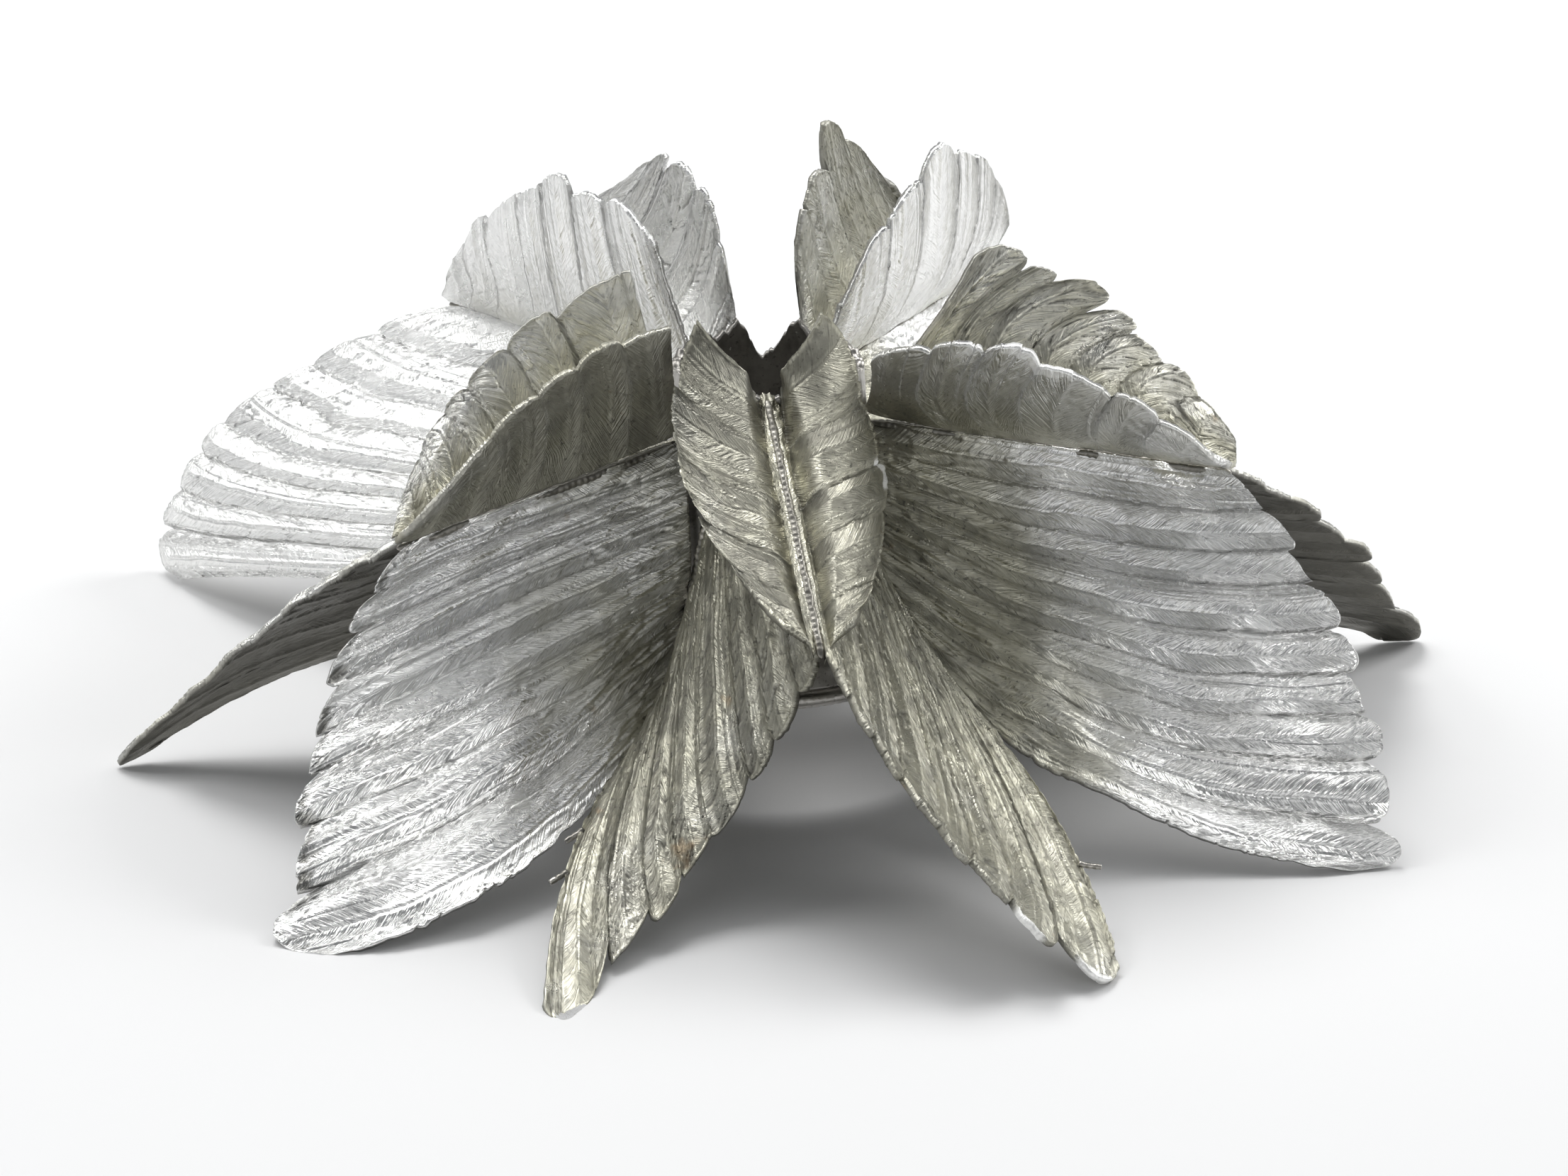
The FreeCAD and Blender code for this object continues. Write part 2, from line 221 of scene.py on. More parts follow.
def net_normals(net, along, across, side):
    """Unit normals of the net surface, on its outer face."""
    step = 0.004
    tangent_along = net_points(net, along + step, across) - net_points(net, along - step, across)
    tangent_across = net_points(net, along, across + step) - net_points(net, along, across - step)
    normal = np.cross(tangent_along, tangent_across) * side
    return normal / np.linalg.norm(normal, axis=-1, keepdims=True)


def smooth_step(low, high, value):
    """0 below low, 1 above high, smooth between."""
    share = np.clip((value - low) / (high - low), 0, 1)
    return share * share * (3 - 2 * share)


def noise(x, y, seed):
    """Smooth noise from -1 to 1 with one lump per unit."""
    cells = np.random.default_rng(seed).uniform(-1, 1, (256, 256))
    column, row = np.floor(x).astype(int), np.floor(y).astype(int)
    fx, fy = x - column, y - row
    fx, fy = fx * fx * (3 - 2 * fx), fy * fy * (3 - 2 * fy)
    a, b = cells[row % 256, column % 256], cells[row % 256, (column + 1) % 256]
    c, d = cells[(row + 1) % 256, column % 256], cells[(row + 1) % 256, (column + 1) % 256]
    return (a * (1 - fx) + b * fx) * (1 - fy) + (c * (1 - fx) + d * fx) * fy


def ridges(x, y, seed):
    """Sharp crests from 0 to 1, worm-like."""
    return 1 - np.abs(noise(x, y, seed) + 0.5 * noise(2.1 * x + 7, 2.1 * y + 3, seed + 1)) * 1.6


# ---------------------------------------------------------------------------------------------
# Meshes
# ---------------------------------------------------------------------------------------------
def grid_quads(rows, columns, start, flip):
    """Quads of a grid of vertices that begins at an index."""
    index = start + np.arange(rows * columns).reshape(rows, columns)
    quads = np.stack([index[:-1, :-1], index[1:, :-1], index[1:, 1:], index[:-1, 1:]], -1).reshape(-1, 4)
    return quads[:, ::-1] if flip else quads


def mesh_object(name, vertices, quads, shade_and_patina, weave):
    """A smooth-shaded object with its shade_and_patina and weave attributes."""
    mesh = bpy.data.meshes.new(name)
    mesh.vertices.add(len(vertices))
    mesh.vertices.foreach_set("co", np.ascontiguousarray(vertices, np.float32).ravel())
    mesh.loops.add(quads.size)
    mesh.loops.foreach_set("vertex_index", np.ascontiguousarray(quads, np.int32).ravel())
    mesh.polygons.add(len(quads))
    mesh.polygons.foreach_set("loop_start", np.arange(0, quads.size, 4, dtype=np.int32))
    mesh.polygons.foreach_set("use_smooth", np.ones(len(quads), bool))
    mesh.update(calc_edges=True)
    mesh.validate()
    # shade_and_patina channels: painted shade, patina, filed edge and painted back shade
    layer = mesh.attributes.new("shade_and_patina", "FLOAT_COLOR", "POINT")
    layer.data.foreach_set("color", np.ascontiguousarray(shade_and_patina, np.float32).ravel())
    layer = mesh.attributes.new("weave", "FLOAT_VECTOR", "POINT")
    layer.data.foreach_set("vector", np.ascontiguousarray(weave, np.float32).ravel())
    piece = bpy.data.objects.new(name, mesh)
    bpy.context.collection.objects.link(piece)
    return piece


def closed_sheet(name, front, back, front_shade_and_patina, back_shade_and_patina, weave, flip):
    """A closed solid between two grids of points that share an outline."""
    rows, columns = front.shape[:2]
    count = rows * columns
    quads = [grid_quads(rows, columns, 0, flip), grid_quads(rows, columns, count, not flip)]
    index = np.arange(count).reshape(rows, columns)
    ring = np.concatenate([index[0, :-1], index[:-1, -1], index[-1, :0:-1], index[:0:-1, 0]])
    after = np.roll(ring, -1)
    wall = np.stack([ring, after, after + count, ring + count], -1)
    quads.append(wall[:, ::-1] if flip else wall)
    vertices = np.concatenate([front.reshape(-1, 3), back.reshape(-1, 3)])
    vertices = np.clip(vertices, LOW, HIGH)
    shade_and_patina = np.concatenate([front_shade_and_patina.reshape(-1, 4), back_shade_and_patina.reshape(-1, 4)])
    both_weaves = np.concatenate([weave.reshape(-1, 3)] * 2)
    return mesh_object(name, vertices, np.concatenate(quads), shade_and_patina, both_weaves)


def crests(x, y, seed, sharpness):
    """Ridges raised to a power: thin lines, 1 on the crest and 0 beside it."""
    return np.clip(ridges(x, y, seed), 0, 1) ** sharpness


def bump_at(value, half_width):
    """1 where a value is 0, falling off smoothly over the half width."""
    return np.exp(-(value / half_width) ** 2)


FIRST_FEATHER_BIAS = 0.87     # below 1, the first feathers are the widest


def feather_layout(across, feathers, seed):
    """Feather number and place within the feather (0 to 1) for each share across the wing."""
    random = np.random.default_rng(seed)
    gaps = (np.arange(feathers + 1) / feathers) ** FIRST_FEATHER_BIAS
    gaps[1:-1] += random.uniform(-0.16, 0.16, feathers - 1) / feathers
    position = np.interp(across, gaps, np.arange(feathers + 1))
    number = np.clip(position.astype(int), 0, feathers - 1)
    return number, np.clip(position - number, 0, 1)


def wing_grid(net, feathers, seed, look):
    """Where each vertex of a wing lies on the sheet and on its feather."""
    span_along = np.linalg.norm(net[2, 1] - net[0, 1]) / MM
    span_across = np.linalg.norm(net[1, 2] - net[1, 0]) / MM * 1.25
    rows = int(span_along / look["pitch_along"]) + 2
    columns = int(span_across / look["pitch_across"]) + 2
    along, across = np.meshgrid(np.linspace(0, 1, rows), np.linspace(0, 1, columns), indexing="ij")
    g = SimpleNamespace(along=along, across=across, span_along=span_along, span_across=span_across)
    g.distance, g.to_tip = along * span_along, (1 - along) * span_along
    g.width = across * span_across
    g.across_line = 0 * g.width
    g.to_side = np.minimum(across, 1 - across) * span_across
    g.from_keel = g.distance if look["keel_root"] else (1 - across) * span_across
    sway = 0.10 / feathers * noise(g.distance / 26, g.width / 30, seed + 1)
    sway = sway + 0.03 / feathers * noise(g.distance / 5, g.width / 30, seed + 2)
    swayed = np.clip(across + sway * smooth_step(0, 6, g.to_side), 0, 1)
    g.number, g.phase = feather_layout(swayed, feathers, seed)
    g.tipward = smooth_step(0.06, 0.4, along)
    return g


def feather_ends(g, feathers, random, seed, look):
    """Shares along and across of each vertex once every feather has its rounded, split end."""
    notch = look["notch"] / g.span_along
    depth = random.uniform(0.6, 1.4, feathers)[g.number]
    length = 1 - notch * depth * np.abs(1.75 * g.phase - 0.75) ** 3
    length += notch * random.uniform(-0.6, 0.6, feathers)[g.number] * (1 - (2 * g.phase - 1) ** 4)
    finger = look["reach"] * (1 - np.abs(2 * g.phase - 1) ** 3)
    length += np.where(g.number == look["finger"], finger, 0)
    rounding = np.where(g.number == 0, np.abs(2 * g.phase - 1.1) ** 2.2, 0)
    length -= look["round_tip"] / g.span_along * rounding
    length += 0.3 / g.span_along * noise(g.width / 2.6, g.across_line, seed + 3)
    length -= 1.1 / g.span_along * crests(g.width / 4.2, g.across_line, seed + 4, 8)
    shift = 0.5 * noise(g.distance / 2.4, g.across_line, seed + 19)
    shift = shift - 1.2 * crests(g.distance / 7, g.across_line, seed + 21, 10)
    return g.along * length, g.across - shift / g.span_across * np.exp(-g.width / 5) * look["split_edge"]


def large_forms(g, seed, look):
    """Heights of the overlapping feathers, of the sheet's lumps and of its curled ends."""
    g.step = np.where(g.drop < 0.9, g.drop / 0.9, g.phase) - 0.5
    feather_forms = look["step"] * g.step * g.tipward + 0.16 * (1 - (2 * g.phase - 1) ** 2) * g.tipward
    lumps = look["lumps"] * noise(g.distance / 23, g.width / 44, seed + 11)
    lumps += 0.35 * look["lumps"] * noise(g.distance / 17, g.width / 15, seed + 14)
    lumps += 0.16 * look["lumps"] * noise(g.distance / 11, g.width / 7, seed + 12)
    ragged = 0.7 + 0.5 * noise(g.width / 9, g.across_line, seed + 15)
    curl = -look["curl"] * smooth_step(8, 0, g.to_tip) * ragged
    curl -= look["groove"] * smooth_step(11, 0, g.from_keel)
    return feather_forms, lumps, curl


def fine_forms(g, seed, look):
    """Heights of seams, quills, barb creases, splits and rims, and of cords and pocks at the root."""
    seam = 0.5 * bump_at(g.gap, 0.42) * (0.55 + 0.5 * noise(g.distance / 3.2, g.number * 7.3, seed + 6))
    seam = seam * smooth_step(0.03, 0.2, g.along)
    quill = 0.24 * bump_at(np.abs(g.aside) - 0.75, 0.33) - 0.16 * bump_at(g.aside, 0.3)
    quill *= smooth_step(0.12, 0.3, g.along) * (1 - 0.5 * smooth_step(0.85, 1.0, g.along))
    barb = g.distance - 1.35 * np.abs(g.aside)
    creases = crests(barb / 3.4, g.aside / 11 + g.number * 5.3, seed + 5, 4) * g.tipward
    splits = crests(barb / 9.0, g.aside / 18 + g.number * 3.7, seed + 7, 12) * g.tipward
    g.grain = noise(g.distance / 1.7, g.width / 1.5, seed + 13)

    rootward = smooth_step(look["covert_reach"], 0.05, g.along)
    bend = 0.6 * noise(g.distance / 12, g.width / 12, seed + 8)
    cords = crests(g.distance / 13 + 0.05 * g.aside, g.width / 3.6 + bend, seed + 9, 2)
    pocks = np.clip(noise(g.distance / 3.1, g.width / 2.7, seed + 10), 0, 1) ** 2
    edge = np.minimum(g.to_tip, g.to_side + 40 * (1 - g.tipward))
    uneven = 0.75 + 0.5 * noise((g.distance + g.width) / 1.5, g.to_side / 9, seed + 17)
    rim = look["rim"] * bump_at(edge, 0.9) * uneven

    feather = 1.25 * seam + 1.1 * quill + 0.3 * creases - 0.5 * splits + 0.05 * g.grain
    return look["relief"] * feather + look["coverts"] * rootward * (1.1 * cords - 0.9 * pocks) + rim


def wing_shade_and_patina(g, small, seed, look, filed):
    """Painted shade and patina of the front and the back of a wing: painted shade, worn, scraped and painted
    back shade.
    """
    # Painted shade in the creases of the fine relief and under each overlapping feather, raised all over the
    # face by face_darkening.
    painted_shade = np.clip(0.5 + look["face_darkening"] - 0.55 * small - 0.2 * (g.step * look["step"]), 0, 1)
    blotchy = 0.7 + 0.6 * noise(g.width / 7, g.distance / 7, seed + 18)
    # Painted shade at the curled feather ends, standing in for their dark reflection.
    painted_shade += look["tip_shade"] * smooth_step(14, 1, g.to_tip) * blotchy
    # Painted shade along the keel crease.
    shaded = smooth_step(look["shade_reach"], 1, g.from_keel)
    if not look["keel_root"]:
        shaded = shaded * smooth_step(0.6, 0.1, g.along)
    painted_shade = np.maximum(painted_shade, 0.9 * look["keel_shade"] * shaded)
    worn = np.clip(look["patina"] + look["root_patina"] * (1 - smooth_step(0.1, 0.75, g.along)), 0, 1)
    scraped = np.zeros_like(worn)
    for start, end in filed:
        inside = smooth_step(start, start + 0.02, g.across) * smooth_step(end, end - 0.02, g.across)
        scraped += inside * (g.to_tip < 2.2 + 0.8 * noise(g.width / 4, g.across_line, seed + 23))
    plain, none = np.full_like(worn, 0.5), np.zeros_like(worn)
    front = np.stack([painted_shade, worn, scraped, none], -1)
    # Painted shade on the back of the wing, set by painted_back_shade.
    back = np.stack([plain, worn, scraped, look["painted_back_shade"] + none], -1)
    return front, back


def wing(name, net, feathers, side, seed, look, filed):
    """A cast wing: overlapping feathers with shafts, barbs and scalloped tips, and a plainer back."""
    random = np.random.default_rng(seed)
    g = wing_grid(net, feathers, seed, look)
    along, across = feather_ends(g, feathers, random, seed, look)
    surface = net_points(net, along, across)
    normal = net_normals(net, along, g.across, side)

    columns = surface.shape[1]
    feather_width = np.linalg.norm(np.gradient(surface, axis=1), axis=-1) * (columns - 1) / MM / feathers
    shaft = 0.4 + 0.09 * random.uniform(-1, 1, feathers)[g.number]
    g.aside = (g.phase - shaft) * feather_width
    g.drop = (1 - g.phase) * feather_width
    g.gap = np.minimum(g.phase, 1 - g.phase) * feather_width

    feather_forms, lumps, curl = large_forms(g, seed, look)
    small = fine_forms(g, seed, look)
    front = surface + normal * (feather_forms + lumps + curl + small)[..., None] * MM
    shaft_groove = 0.4 * bump_at(g.aside, 1.0) * g.tipward
    dip = 0.3 * feather_forms + lumps + curl + 0.12 * g.grain - shaft_groove
    thickness = WALL - 0.9 * bump_at(np.minimum(g.to_tip, g.to_side), 4)
    back = surface + normal * (dip - thickness)[..., None] * MM

    front_shade_and_patina, back_shade_and_patina = wing_shade_and_patina(g, small, seed, look, filed)
    weave = np.stack([g.distance, g.aside, g.number + 0.0 * g.aside], -1)
    return closed_sheet(name, front, back, front_shade_and_patina, back_shade_and_patina, weave, side < 0)


def bead(name, start, end, start_radius, end_radius, seed, groove_shade=0.0, turns=40, around=20):
    """A lumpy weld bead between two points, with painted shade between its lumps and at its start when it
    lies sunk in a groove.
    """
    angles = np.linspace(0, 2 * math.pi, around + 1)
    share, angle = np.meshgrid(np.linspace(0, 1, turns * 4), angles, indexing="ij")
    length = np.linalg.norm(end - start) / MM
    direction = (end - start) / np.linalg.norm(end - start)
    side_way = np.cross(direction, [0, 0, 1.0])
    side_way /= np.linalg.norm(side_way)
    up_way = np.cross(side_way, direction)
    radius = start_radius + (end_radius - start_radius) * share
    ripple = 0.14 * np.abs(np.sin(share * length / 2.1 * math.pi))
    wrapped = angle % (2 * math.pi)
    lumps = noise(share * length / 3.1, wrapped * 1.3, seed) * np.sin(wrapped / 2) ** 0.5
    radius = radius * (0.82 + ripple + 0.14 * lumps)
    radius *= np.sqrt(np.clip(1 - np.abs(2 * share - 1) ** 24, 0.002, 1))
    centre = start + (end - start) * share[..., None]
    outward = np.cos(angle)[..., None] * side_way + np.sin(angle)[..., None] * up_way
    points = centre + radius[..., None] * MM * outward
    # Painted shade between the lumps and, by groove_shade, along the sunk start of the bead.
    painted_shade = np.clip(0.45 - 0.5 * lumps + groove_shade * (1 - share ** 4), 0, 1)
    return tube_object(name, points, painted_shade, share * length)


def tube_object(name, points, painted_shade, distance):
    """A closed tube from a grid of points whose last column repeats the first."""
    rows, columns = points.shape[0], points.shape[1] - 1
    index = np.arange(rows * columns).reshape(rows, columns)
    after = np.roll(index, -1, axis=1)
    quads = np.stack([index[:-1], after[:-1], after[1:], index[1:]], -1).reshape(-1, 4)
    vertices = points[:, :-1].reshape(-1, 3)
    ends = np.array([points[0, :-1].mean(0), points[-1, :-1].mean(0)])
    first, last = len(vertices), len(vertices) + 1
    corners = [(i, (i + 1) % columns, (i + 2) % columns) for i in range(0, columns, 2)]
    caps = [[first, index[0, c], index[0, b], index[0, a]] for a, b, c in corners]
    caps += [[last, index[-1, a], index[-1, b], index[-1, c]] for a, b, c in corners]
    shade_and_patina = np.zeros((len(vertices) + 2, 4))
    # Painted shade of the bead, raised by 0.3 on every bead.
    shade_and_patina[:-2, 0] = np.clip(painted_shade[:, :-1].ravel() + 0.3, 0, 1)
    shade_and_patina[:, 1] = 0.8
    weave = np.zeros((len(vertices) + 2, 3))
    weave[:-2, 0] = distance[:, :-1].ravel()
    vertices = np.clip(np.concatenate([vertices, ends]), LOW, HIGH)
    return mesh_object(name, vertices, np.concatenate([quads, np.array(caps)]), shade_and_patina, weave)


def ring_quads(rows, columns):
    """Quads of a grid of vertices that closes on itself both ways."""
    index = np.arange(rows * columns).reshape(rows, columns)
    next_row, next_column = np.roll(index, -1, 0), np.roll(index, -1, 1)
    diagonal = np.roll(next_row, -1, 1)
    return np.stack([index, next_row, diagonal, next_column], -1).reshape(-1, 4)


def throat_collar():
    """Flared throat wall with a ragged rim, lowest at the back."""
    around, upward = 360, 110
    angle, share = np.meshgrid(np.linspace(0, 360, around + 1), np.linspace(0, 1, upward), indexing="ij")
    back_notch = -9 * np.exp(-((angle - 178) / 9) ** 2) + 4 * np.exp(-((angle - 160) / 7) ** 2)
    back_notch += 4 * np.exp(-((angle - 199) / 7) ** 2)
    folded = np.minimum(angle, 360 - angle)
    teeth = 1.6 * noise(folded / 5, 0 * angle, 5) + 0.7 * noise(folded / 1.7, 0 * angle, 6)
    ragged = RIM_HEIGHT - 1.0 + back_notch + teeth
    height = SKIRT_HEIGHT + (ragged - SKIRT_HEIGHT) * share
    radius = np.interp(height, [SKIRT_HEIGHT, WAIST[1], RIM_HEIGHT], [SKIRT_RADIUS, WAIST[0], THROAT_RADIUS])
    lumps = 0.5 * noise(folded / 20, height / 16, 8) + 0.14 * noise(folded / 3, height / 3, 9)
    radians = np.radians(angle)
    outward = np.stack([-np.sin(radians), -np.cos(radians), np.zeros_like(radians)], -1)
    upright = np.array([0, 0, 1.0]) * height[..., None] * MM
    outer = AXIS + outward * (radius + lumps - 0.4)[..., None] * MM + upright
    inner = AXIS + outward * (radius + lumps - 0.4 - WALL)[..., None] * MM + upright
    closed = np.concatenate([outer, inner[:, ::-1]], 1)[:-1]
    rows, columns = closed.shape[:2]
    quads = ring_quads(rows, columns)
    shade_and_patina = np.zeros((rows * columns, 4))
    shade_and_patina[:, 0] = 0.55
    shade_and_patina[:, 1] = 0.9
    weave = np.zeros((rows * columns, 3))
    weave[:, 0] = np.repeat(angle[:-1, 0], columns)
    return mesh_object("throat_wall", np.clip(closed.reshape(-1, 3), LOW, HIGH), quads, shade_and_patina, weave)


def weld_ring():
    """Lumpy ring of weld under the skirt."""
    low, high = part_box("skirt_weld_ring")
    tube = (high[2] - low[2]) / 2
    big = (high[0] - low[0]) / 2 - tube
    around, across = (np.linspace(0, 2 * math.pi, steps + 1)[:-1] for steps in (360, 24))
    angle, turn_angle = np.meshgrid(around, across, indexing="ij")
    radius = tube * (0.86 + 0.12 * np.abs(np.sin(angle * 70)) * (1 + np.cos(turn_angle)) / 2)
    outward = np.stack([np.cos(angle), np.sin(angle), 0 * angle], -1)
    points = AXIS + outward * (big + radius * np.cos(turn_angle))[..., None]
    points[..., 2] += (low[2] + high[2]) / 2 + radius * np.sin(turn_angle)
    rows, columns = angle.shape
    shade_and_patina = np.zeros((rows * columns, 4))
    shade_and_patina[:, :2] = 0.5
    weave = np.zeros((rows * columns, 3))
    return mesh_object("skirt_weld", points.reshape(-1, 3), ring_quads(rows, columns), shade_and_patina, weave)


# ---------------------------------------------------------------------------------------------
# Materials
# ---------------------------------------------------------------------------------------------
class Nodes:
    """Short hand for building a node tree."""

    def __init__(self, tree):
        self.tree = tree

    def add(self, kind, inputs=None, **settings):
        """A node with its settings, and inputs given as values or output sockets."""
        node = self.tree.nodes.new(kind)
        for key, value in settings.items():
            setattr(node, key, value)
        for key, value in (inputs or {}).items():
            if isinstance(value, bpy.types.NodeSocket):
                self.tree.links.new(value, node.inputs[key])
            else:
                node.inputs[key].default_value = value
        return node

    def math(self, operation, first, second=0.0, third=0.0):
        """The output of a Math node."""
        return self.add("ShaderNodeMath", {0: first, 1: second, 2: third}, operation=operation).outputs[0]

    def ramp(self, value, low, high, start=0.0, end=1.0):
        """A value mapped smoothly from low..high to start..end."""
        inputs = {"Value": value, "From Min": low, "From Max": high, "To Min": start, "To Max": end}
        return self.add("ShaderNodeMapRange", inputs, interpolation_type="SMOOTHSTEP").outputs["Result"]

    def mix(self, factor, first, second, blend="MIX"):
        """Two colours mixed."""
        node = self.add("ShaderNodeMix", {0: factor, 6: first, 7: second}, data_type="RGBA", blend_type=blend)
        return node.outputs[2]

    def noise(self, vector, scale, detail=2.0, rough=0.5):
        """The value of a noise texture."""
        inputs = {"Vector": vector, "Scale": scale, "Detail": detail, "Roughness": rough}
        return self.add("ShaderNodeTexNoise", inputs).outputs[0]


BRIGHT = (0.92, 0.92, 0.905, 1)
WARM = (0.58, 0.565, 0.465, 1)
# DARK is the colour of painted shade, and of soot stains and pits.
DARK = (0.17, 0.165, 0.145, 1)
RUST = (0.42, 0.27, 0.13, 1)
FILED = (0.97, 0.97, 0.95, 1)


def cast_metal(name, bright, patina, dark, barb_depth, grain_depth):
    """Cast aluminium: bright where rubbed, warm patina at the roots, painted shade in hollows and on the
    backs, barbs and pits.
    """
    material = bpy.data.materials.new(name)
    material.use_nodes = True
    tree = material.node_tree
    tree.nodes.clear()
    n = Nodes(tree)
    shade_and_patina = n.add("ShaderNodeAttribute", attribute_name="shade_and_patina")
    parts = n.add("ShaderNodeSeparateColor", {0: shade_and_patina.outputs["Color"]})
    painted_shade, worn, scraped = parts.outputs[0], parts.outputs[1], parts.outputs[2]
    back_face_shade = shade_and_patina.outputs["Alpha"]
    weave = n.add("ShaderNodeAttribute", attribute_name="weave")
    axes = n.add("ShaderNodeSeparateXYZ", {0: weave.outputs["Vector"]})
    place_now = n.add("ShaderNodeTexCoord").outputs["Object"]

    cloud = n.noise(place_now, 26.0, 5.0, 0.6)
    blotch = n.noise(place_now, 95.0, 4.0, 0.65)
    speck = n.noise(place_now, 700.0, 3.0, 0.6)
    stained = n.ramp(n.math("ADD", worn, n.math("MULTIPLY", n.math("SUBTRACT", cloud, 0.5), 1.1)), 0.15, 0.85)
    colour = n.mix(stained, bright, patina)
    sooty = n.ramp(n.math("ADD", blotch, n.math("MULTIPLY", worn, 0.12)), 0.52, 0.76, 0.0, 0.45)
    colour = n.mix(n.math("MULTIPLY", sooty, stained), colour, dark)
    # Painted shade in creases, under overlapping feathers, along keels and at feather ends.
    colour = n.mix(n.ramp(painted_shade, 0.56, 0.95, 0.0, 0.85), colour, dark)
    # Painted shade on the backs of the wings.
    colour = n.mix(n.math("MULTIPLY", back_face_shade, 0.8), colour, dark)
    pitted = n.math("MULTIPLY", n.ramp(speck, 0.6, 0.68), n.math("ADD", n.math("MULTIPLY", worn, 0.7), 0.1))
    colour = n.mix(pitted, colour, dark)
    rusty = n.math("MULTIPLY", n.ramp(n.noise(place_now, 60.0, 3.0, 0.6), 0.68, 0.76, 0.0, 0.6), worn)
    colour = n.mix(rusty, colour, RUST)
    colour = n.mix(scraped, colour, FILED)
    roughness = n.ramp(n.math("ADD", cloud, n.math("MULTIPLY", blotch, 0.5)), 0.45, 1.0, 0.13, 0.32)
    roughness = n.math("ADD", roughness, n.math("MULTIPLY", stained, 0.12))
    roughness = n.math("ADD", roughness, n.math("MULTIPLY", back_face_shade, 0.15))
    roughness = n.math("ADD", roughness, n.math("MULTIPLY", scraped, 0.25))

    fold = n.math("MULTIPLY", n.math("ABSOLUTE", axes.outputs[1]), 1.5)
    barb = n.math("SUBTRACT", axes.outputs[0], fold)
    stretched = n.math("MULTIPLY", axes.outputs[1], 0.09)
    barb_axes = {0: n.math("MULTIPLY", barb, 0.9), 1: stretched, 2: axes.outputs[2]}
    barb_space = n.add("ShaderNodeCombineXYZ", barb_axes).outputs[0]
    barbs = n.noise(barb_space, 1.0, 3.0, 0.6)
    fine = n.noise(barb_space, 2.6, 2.0, 0.5)
    pits = n.add("ShaderNodeTexVoronoi", {"Vector": place_now, "Scale": 420.0}).outputs["Distance"]
    pimples = n.ramp(pits, 0.0, 0.28, 1.0, 0.0)
    pimples = n.math("MULTIPLY", pimples, n.ramp(n.noise(place_now, 160.0), 0.64, 0.7))
    grain = n.noise(place_now, 1500.0, 3.0, 0.6)
    height = n.math("MULTIPLY", n.math("ADD", barbs, n.math("MULTIPLY", fine, 0.4)), barb_depth)
    height = n.math("ADD", height, n.math("MULTIPLY", pimples, 0.00022))
    height = n.math("ADD", height, n.math("MULTIPLY", grain, grain_depth))
    bump = n.add("ShaderNodeBump", {"Height": height, "Strength": 1.0, "Distance": 1.0})
    surface = {"Base Color": colour, "Roughness": roughness, "Metallic": 1.0, "Normal": bump.outputs[0]}
    shader = n.add("ShaderNodeBsdfPrincipled", surface)
    output = n.add("ShaderNodeOutputMaterial")
    tree.links.new(shader.outputs[0], output.inputs[0])
    return material


wing_metal = cast_metal("wing_metal", BRIGHT, WARM, DARK, 0.00050, 0.00006)
throat_metal = cast_metal("throat_metal", (0.5, 0.49, 0.47, 1), (0.4, 0.385, 0.36, 1), DARK, 0.0, 0.00008)
weld_metal = cast_metal("weld_metal", (0.74, 0.73, 0.71, 1), (0.6, 0.57, 0.52, 1), DARK, 0.0, 0.00008)


def finish_piece(piece, material, slot, *nodes):
    """Give a piece its metal and its body, and hide the CAD nodes that it stands for; slot is not used."""
    piece.data.materials.append(material)
    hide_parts(*nodes)
    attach(piece, "root")


# ---------------------------------------------------------------------------------------------
# Build the pieces
# ---------------------------------------------------------------------------------------------
LOWER_LOOK = {
    "pitch_along": 0.85,     # mesh pitch along and across the feathers
    "pitch_across": 0.6,
    "notch": 5.5,            # depth of the notches between feather ends
    "finger": 0,             # feather that reaches past the others, and by what share of the wing
    "reach": 0.015,
    "round_tip": 6.0,        # how far the first feather's corners are cut back
    "split_edge": 1.0,       # raggedness of the smooth edge
    "step": 0.55,            # rise of each feather over the next
    "lumps": 1.0,            # uneven sheet
    "curl": 1.6,             # how far the ends bend down
    "groove": 0.0,           # how far the sheet dips at the keel
    "relief": 1.0,           # strength of seams, quills and barbs
    "coverts": 0.8,          # strength of cords and pocks at the root, and how far they run
    "covert_reach": 0.55,
    "rim": 0.35,             # thickened edge
    "patina": 0.0,           # warm patina all over, and at the root
    "root_patina": 0.85,
    "keel_shade": 0.95,      # darkness along the keel, and how far it runs
    "shade_reach": 26,
    "keel_root": False,      # whether the feathers start from the keel
    "tip_shade": 0.0,        # darkness at the feather ends
    "face_darkening": 0.0,             # darkness all over the face, added to the painted shade, and painted shade on the back
    "painted_back_shade": 0.9,
}
UPPER_LOOK = LOWER_LOOK | {
    "pitch_along": 0.6, "pitch_across": 0.55, "notch": 3.2, "finger": 2, "reach": 0.025, "round_tip": 0.0,
    "split_edge": 0.3, "step": 0.5, "lumps": 0.5, "curl": 0.9, "coverts": 0.35, "covert_reach": 0.4,
    "rim": 0.45, "root_patina": 0.5, "keel_shade": 0.3, "shade_reach": 8, "keel_root": True,
}
LOBE = {
    "relief": 0.5, "step": 0.3, "lumps": 0.35, "curl": 0.2, "rim": 0.8, "coverts": 0.15, "patina": 0.8,
    "keel_shade": 1.0, "groove": 6.0, "finger": -1, "face_darkening": 0.3, "notch": 4.5,
}
LEG = {
    "patina": 0.75, "face_darkening": 0.2, "lumps": 0.6, "coverts": 0.9, "covert_reach": 0.5, "rim": 0.6, "curl": 0.6,
    "keel_shade": 0.3,
}

